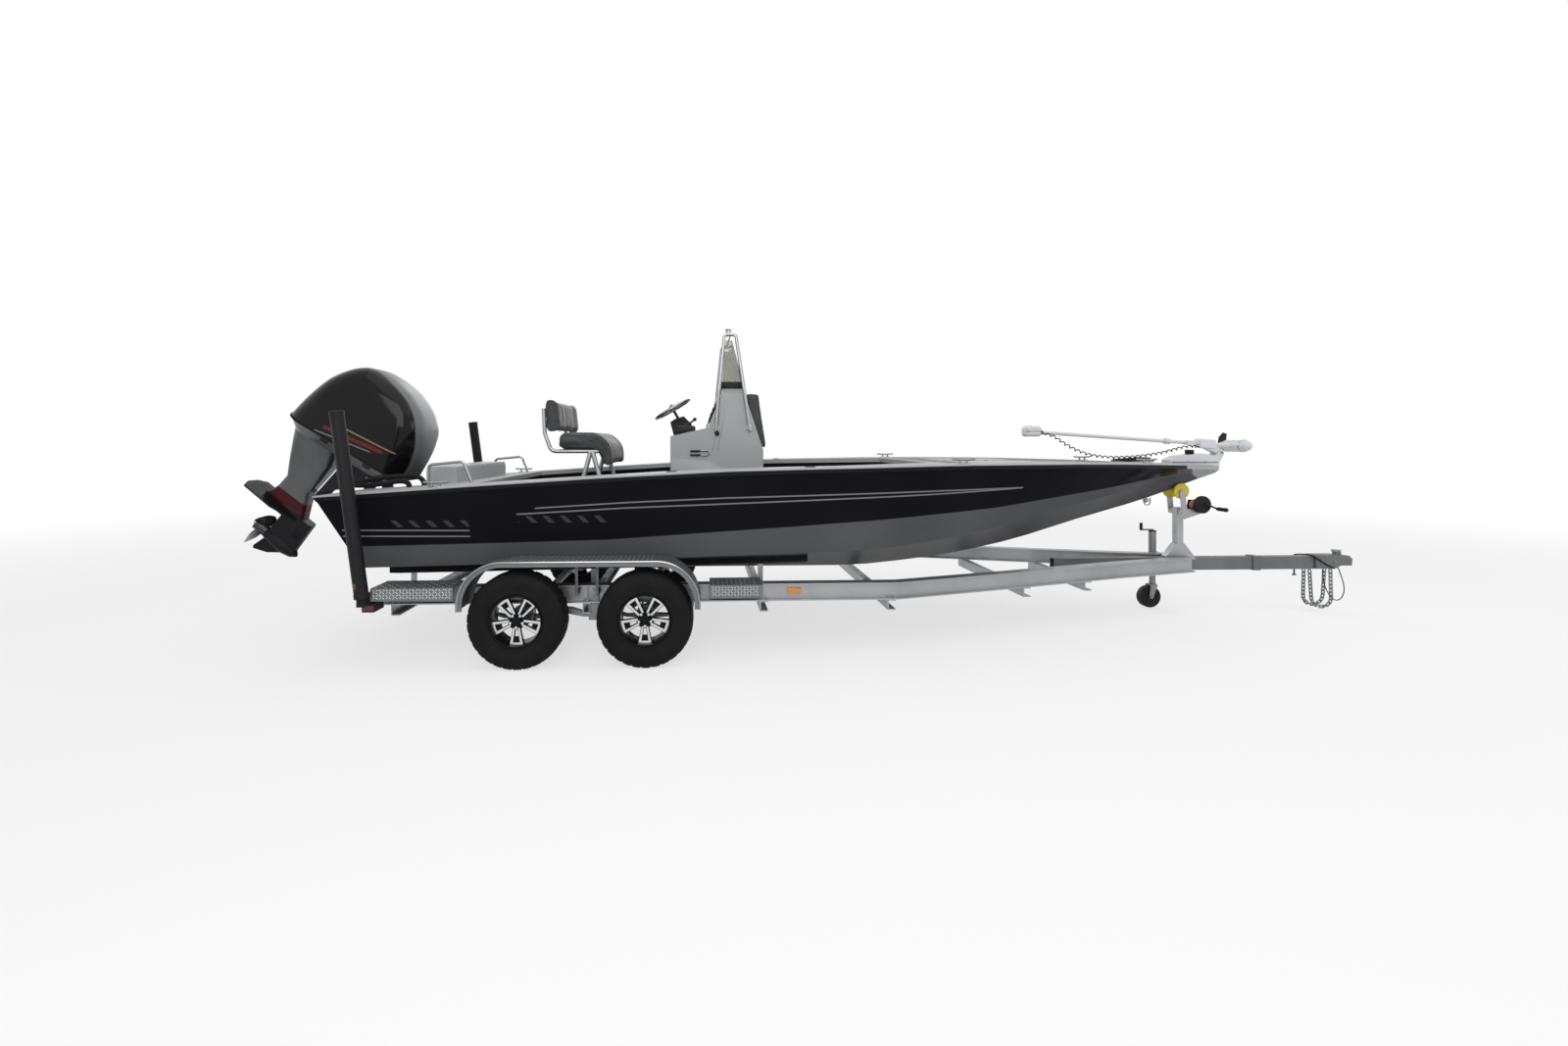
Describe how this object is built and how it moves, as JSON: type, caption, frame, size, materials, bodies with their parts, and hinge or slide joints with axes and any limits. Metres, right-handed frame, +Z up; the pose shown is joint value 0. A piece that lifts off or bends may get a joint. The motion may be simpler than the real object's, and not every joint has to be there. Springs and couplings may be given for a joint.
{
  "type": "bay boat on a tandem trailer",
  "caption": "Centre console bay boat with an outboard and a bow motor, standing on its tandem-axle bunk trailer with its jack down",
  "frame": {"origin": "on the floor, below the middle of the whole box of boat and trailer", "axes": "+X to the bow, +Y to port, +Z up"},
  "size_m": [9.8811, 2.65, 2.567],
  "materials": {
    "hull": "gloss",
    "deck_moulding": "gloss",
    "bow_lids": "gloss",
    "stern_lid": "gloss",
    "polished_rail": "polished",
    "hose": "matte",
    "console": "gloss",
    "pad": "satin",
    "shield": "gloss",
    "helm_pod": "matte",
    "steering_wheel": "polished",
    "post_frame": "satin",
    "black_bracket": "satin",
    "motor_silver": "satin",
    "gearcase": "satin",
    "cowl": "gloss",
    "powerhead": "matte",
    "propeller": "polished",
    "bow_motor_white": "gloss",
    "bow_black": "matte",
    "curly": "matte",
    "trailer": "satin",
    "tongue": "satin",
    "bunks": "matte",
    "galvanised": "satin",
    "fenders": "satin",
    "guide_posts": "matte",
    "rollers": "satin",
    "winch": "satin",
    "jack": "satin",
    "jack_wheel": "matte",
    "coupler": "satin",
    "chain": "satin",
    "cable": "matte",
    "rim": "gloss",
    "tyre": "matte"
  },
  "bodies": {
    "root": {"hull": "hull", "deck_moulding": "deck_moulding", "stern_rail": "polished_rail", "rigging_hose": "hose", "console": "console", "front_pad": "pad", "front_cushion": "pad", "windshield": "shield", "console_rails": "polished_rail", "helm_pod": "helm_pod", "post_frame": "post_frame", "post_cushion": "pad", "post_back": "pad", "jack_plate": "black_bracket", "clamp_brackets": "black_bracket", "bow_mount": "bow_motor_white", "foot_pedal": "bow_black", "side_rails": "trailer", "cross_members": "trailer", "tongue": "tongue", "bunks": "bunks", "axles": "galvanised", "suspension": "galvanised", "fenders": "fenders", "steps": "fenders", "guide_posts": "guide_posts", "winch_post": "trailer", "bow_roller": "rollers", "winch": "winch", "jack_sleeve": "jack", "coupler": "coupler", "safety_chains": "chain", "breakaway_cable": "cable"},
    "bow_lid_port": {"bow_lid_port": "bow_lids"},
    "bow_lid_starboard": {"bow_lid_starboard": "bow_lids"},
    "stern_lid": {"stern_lid": "stern_lid"},
    "steering_wheel": {"steering_wheel": "steering_wheel"},
    "swivel": {"swivel_bracket": "black_bracket"},
    "motor": {"midsection": "motor_silver", "gearcase": "gearcase", "cowl": "cowl", "powerhead": "powerhead"},
    "propeller": {"propeller": "propeller"},
    "bow_motor": {"bow_shaft": "bow_motor_white", "bow_head": "bow_black", "bow_pod": "bow_motor_white", "curly_cord": "curly"},
    "bow_prop": {"bow_prop": "bow_black"},
    "jack_leg": {"jack_leg": "jack"},
    "jack_fork": {"jack_fork": "jack"},
    "jack_wheel": {"jack_wheel": "jack_wheel"},
    "wheel_rear_port": {"rim_rear_port": "rim", "tyre_rear_port": "tyre"},
    "wheel_rear_starboard": {"rim_rear_starboard": "rim", "tyre_rear_starboard": "tyre"},
    "wheel_front_port": {"rim_front_port": "rim", "tyre_front_port": "tyre"},
    "wheel_front_starboard": {"rim_front_starboard": "rim", "tyre_front_starboard": "tyre"}
  },
  "joints": [
    {"name": "motor_tilt", "type": "hinge", "parent": "root", "child": "swivel", "pos_m": [-3.79, 0, 1.24], "axis": [0, 1, 0], "range_deg": [-43, 27]},
    {"name": "motor_steer", "type": "hinge", "parent": "swivel", "child": "motor", "pos_m": [-4.12498, 0, 1.26619], "axis": [0.6561, 0, 0.7547], "range_deg": [-30, 30]},
    {"name": "propeller_spin", "type": "hinge", "parent": "motor", "child": "propeller", "pos_m": [-4.7657, 0, 0.8294], "axis": [0.7547, 0, -0.6561], "continuous": true},
    {"name": "helm_turn", "type": "hinge", "parent": "root", "child": "steering_wheel", "pos_m": [-1.244, 0, 1.857], "axis": [-0.5, 0, 0.866], "range_deg": [-540, 540]},
    {"name": "bow_lid_port_open", "type": "hinge", "parent": "root", "child": "bow_lid_port", "pos_m": [1.51, 0.6, 1.3823], "axis": [-1, 0, 0], "range_deg": [0, 90]},
    {"name": "bow_lid_starboard_open", "type": "hinge", "parent": "root", "child": "bow_lid_starboard", "pos_m": [1.51, -0.6, 1.3823], "axis": [1, 0, 0], "range_deg": [0, 90]},
    {"name": "stern_lid_open", "type": "hinge", "parent": "root", "child": "stern_lid", "pos_m": [-2.89, 0, 1.3563], "axis": [0, 1, 0], "range_deg": [0, 90]},
    {"name": "bow_motor_swing", "type": "hinge", "parent": "root", "child": "bow_motor", "pos_m": [3.75, 0, 1.47], "axis": [0, 1, 0], "range_deg": [0, 90]},
    {"name": "bow_prop_spin", "type": "hinge", "parent": "bow_motor", "child": "bow_prop", "pos_m": [3.92, 0.19, 1.53], "axis": [0, 1, 0], "continuous": true},
    {"name": "jack_slide", "type": "slide", "parent": "root", "child": "jack_leg", "axis": [0, 0, 1], "range_m": [0, 0.13]},
    {"name": "jack_swivel", "type": "hinge", "parent": "jack_leg", "child": "jack_fork", "pos_m": [3.29, 0.222, 0.22], "axis": [0, 0, 1], "continuous": true},
    {"name": "jack_wheel_spin", "type": "hinge", "parent": "jack_fork", "child": "jack_wheel", "pos_m": [3.252, 0.222, 0.1015], "axis": [0, 1, 0], "continuous": true},
    {"name": "wheel_rear_port_spin", "type": "hinge", "parent": "root", "child": "wheel_rear_port", "pos_m": [-2.26, 1.166, 0.336], "axis": [0, 1, 0], "continuous": true},
    {"name": "wheel_rear_starboard_spin", "type": "hinge", "parent": "root", "child": "wheel_rear_starboard", "pos_m": [-2.26, -1.166, 0.336], "axis": [0, 1, 0], "continuous": true},
    {"name": "wheel_front_port_spin", "type": "hinge", "parent": "root", "child": "wheel_front_port", "pos_m": [-1.38, 1.166, 0.336], "axis": [0, 1, 0], "continuous": true},
    {"name": "wheel_front_starboard_spin", "type": "hinge", "parent": "root", "child": "wheel_front_starboard", "pos_m": [-1.38, -1.166, 0.336], "axis": [0, 1, 0], "continuous": true}
  ],
  "couplings": [
    {"joint": "helm_turn", "follows": "motor_steer", "ratio": -18}
  ]
}
